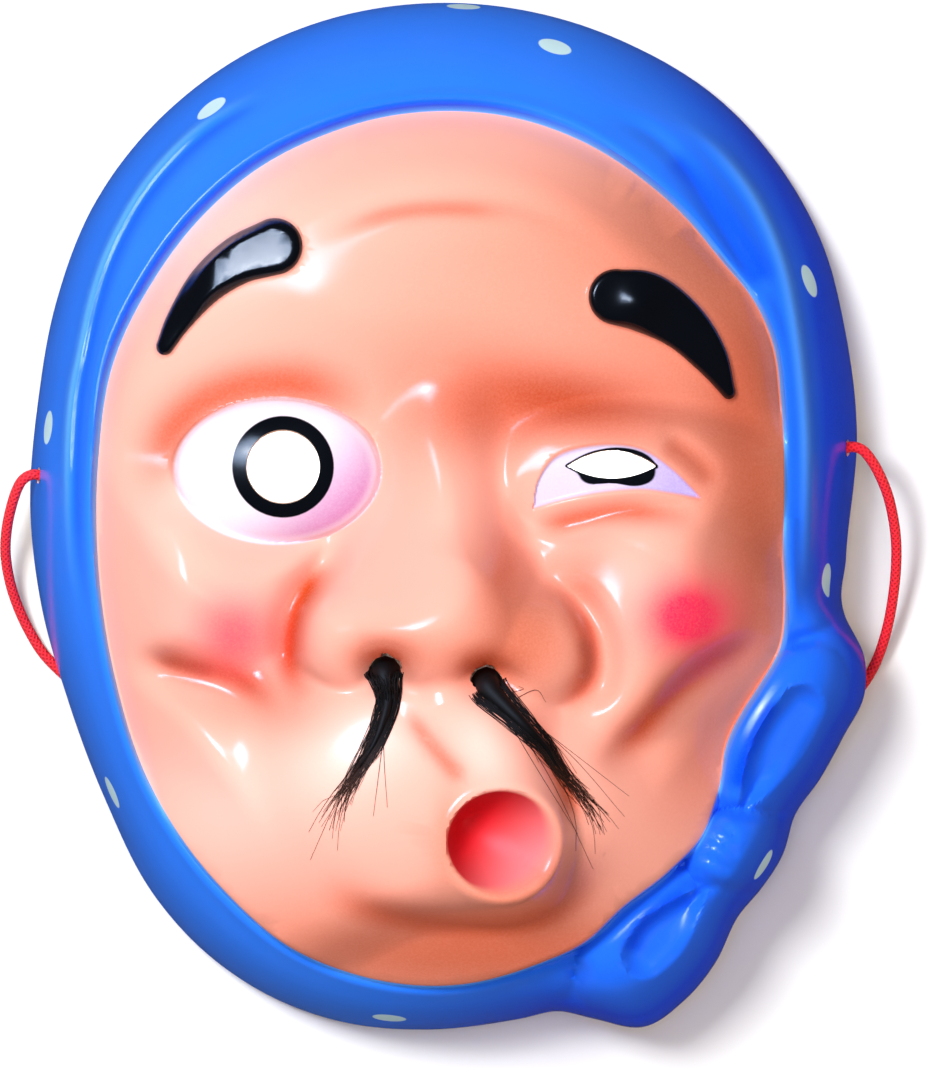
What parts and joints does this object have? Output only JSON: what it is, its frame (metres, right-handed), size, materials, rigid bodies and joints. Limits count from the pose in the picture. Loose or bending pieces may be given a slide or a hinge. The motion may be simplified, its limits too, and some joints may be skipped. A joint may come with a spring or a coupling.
{
  "type": "hyottoko mask",
  "caption": "Thin plastic folk mask of a winking face with a pouting pipe mouth, inside a spotted head scarf tied at one side, with an elastic cord through side holes.",
  "frame": {"origin": "on the floor under the middle of the rim, the mask lying face up on it", "axes": "+Z out of the face, +Y towards the crown, +X to the right of someone looking down on the face"},
  "size_m": [0.2051, 0.2353, 0.0909],
  "materials": {
    "sprayed_plastic": "glossy formed sheet sprayed flesh, with a blue scarf, white spots, black brows and a red mouth",
    "black_hair": "coarse straight black hair",
    "red_elastic": "red braided thread over rubber"
  },
  "bodies": {
    "root": {"mask_shell": "sprayed_plastic", "nostril_hair_left": "black_hair", "nostril_hair_right": "black_hair", "elastic_cord": "red_elastic", "cord_knot_left": "red_elastic", "cord_knot_right": "red_elastic"}
  },
  "joints": []
}
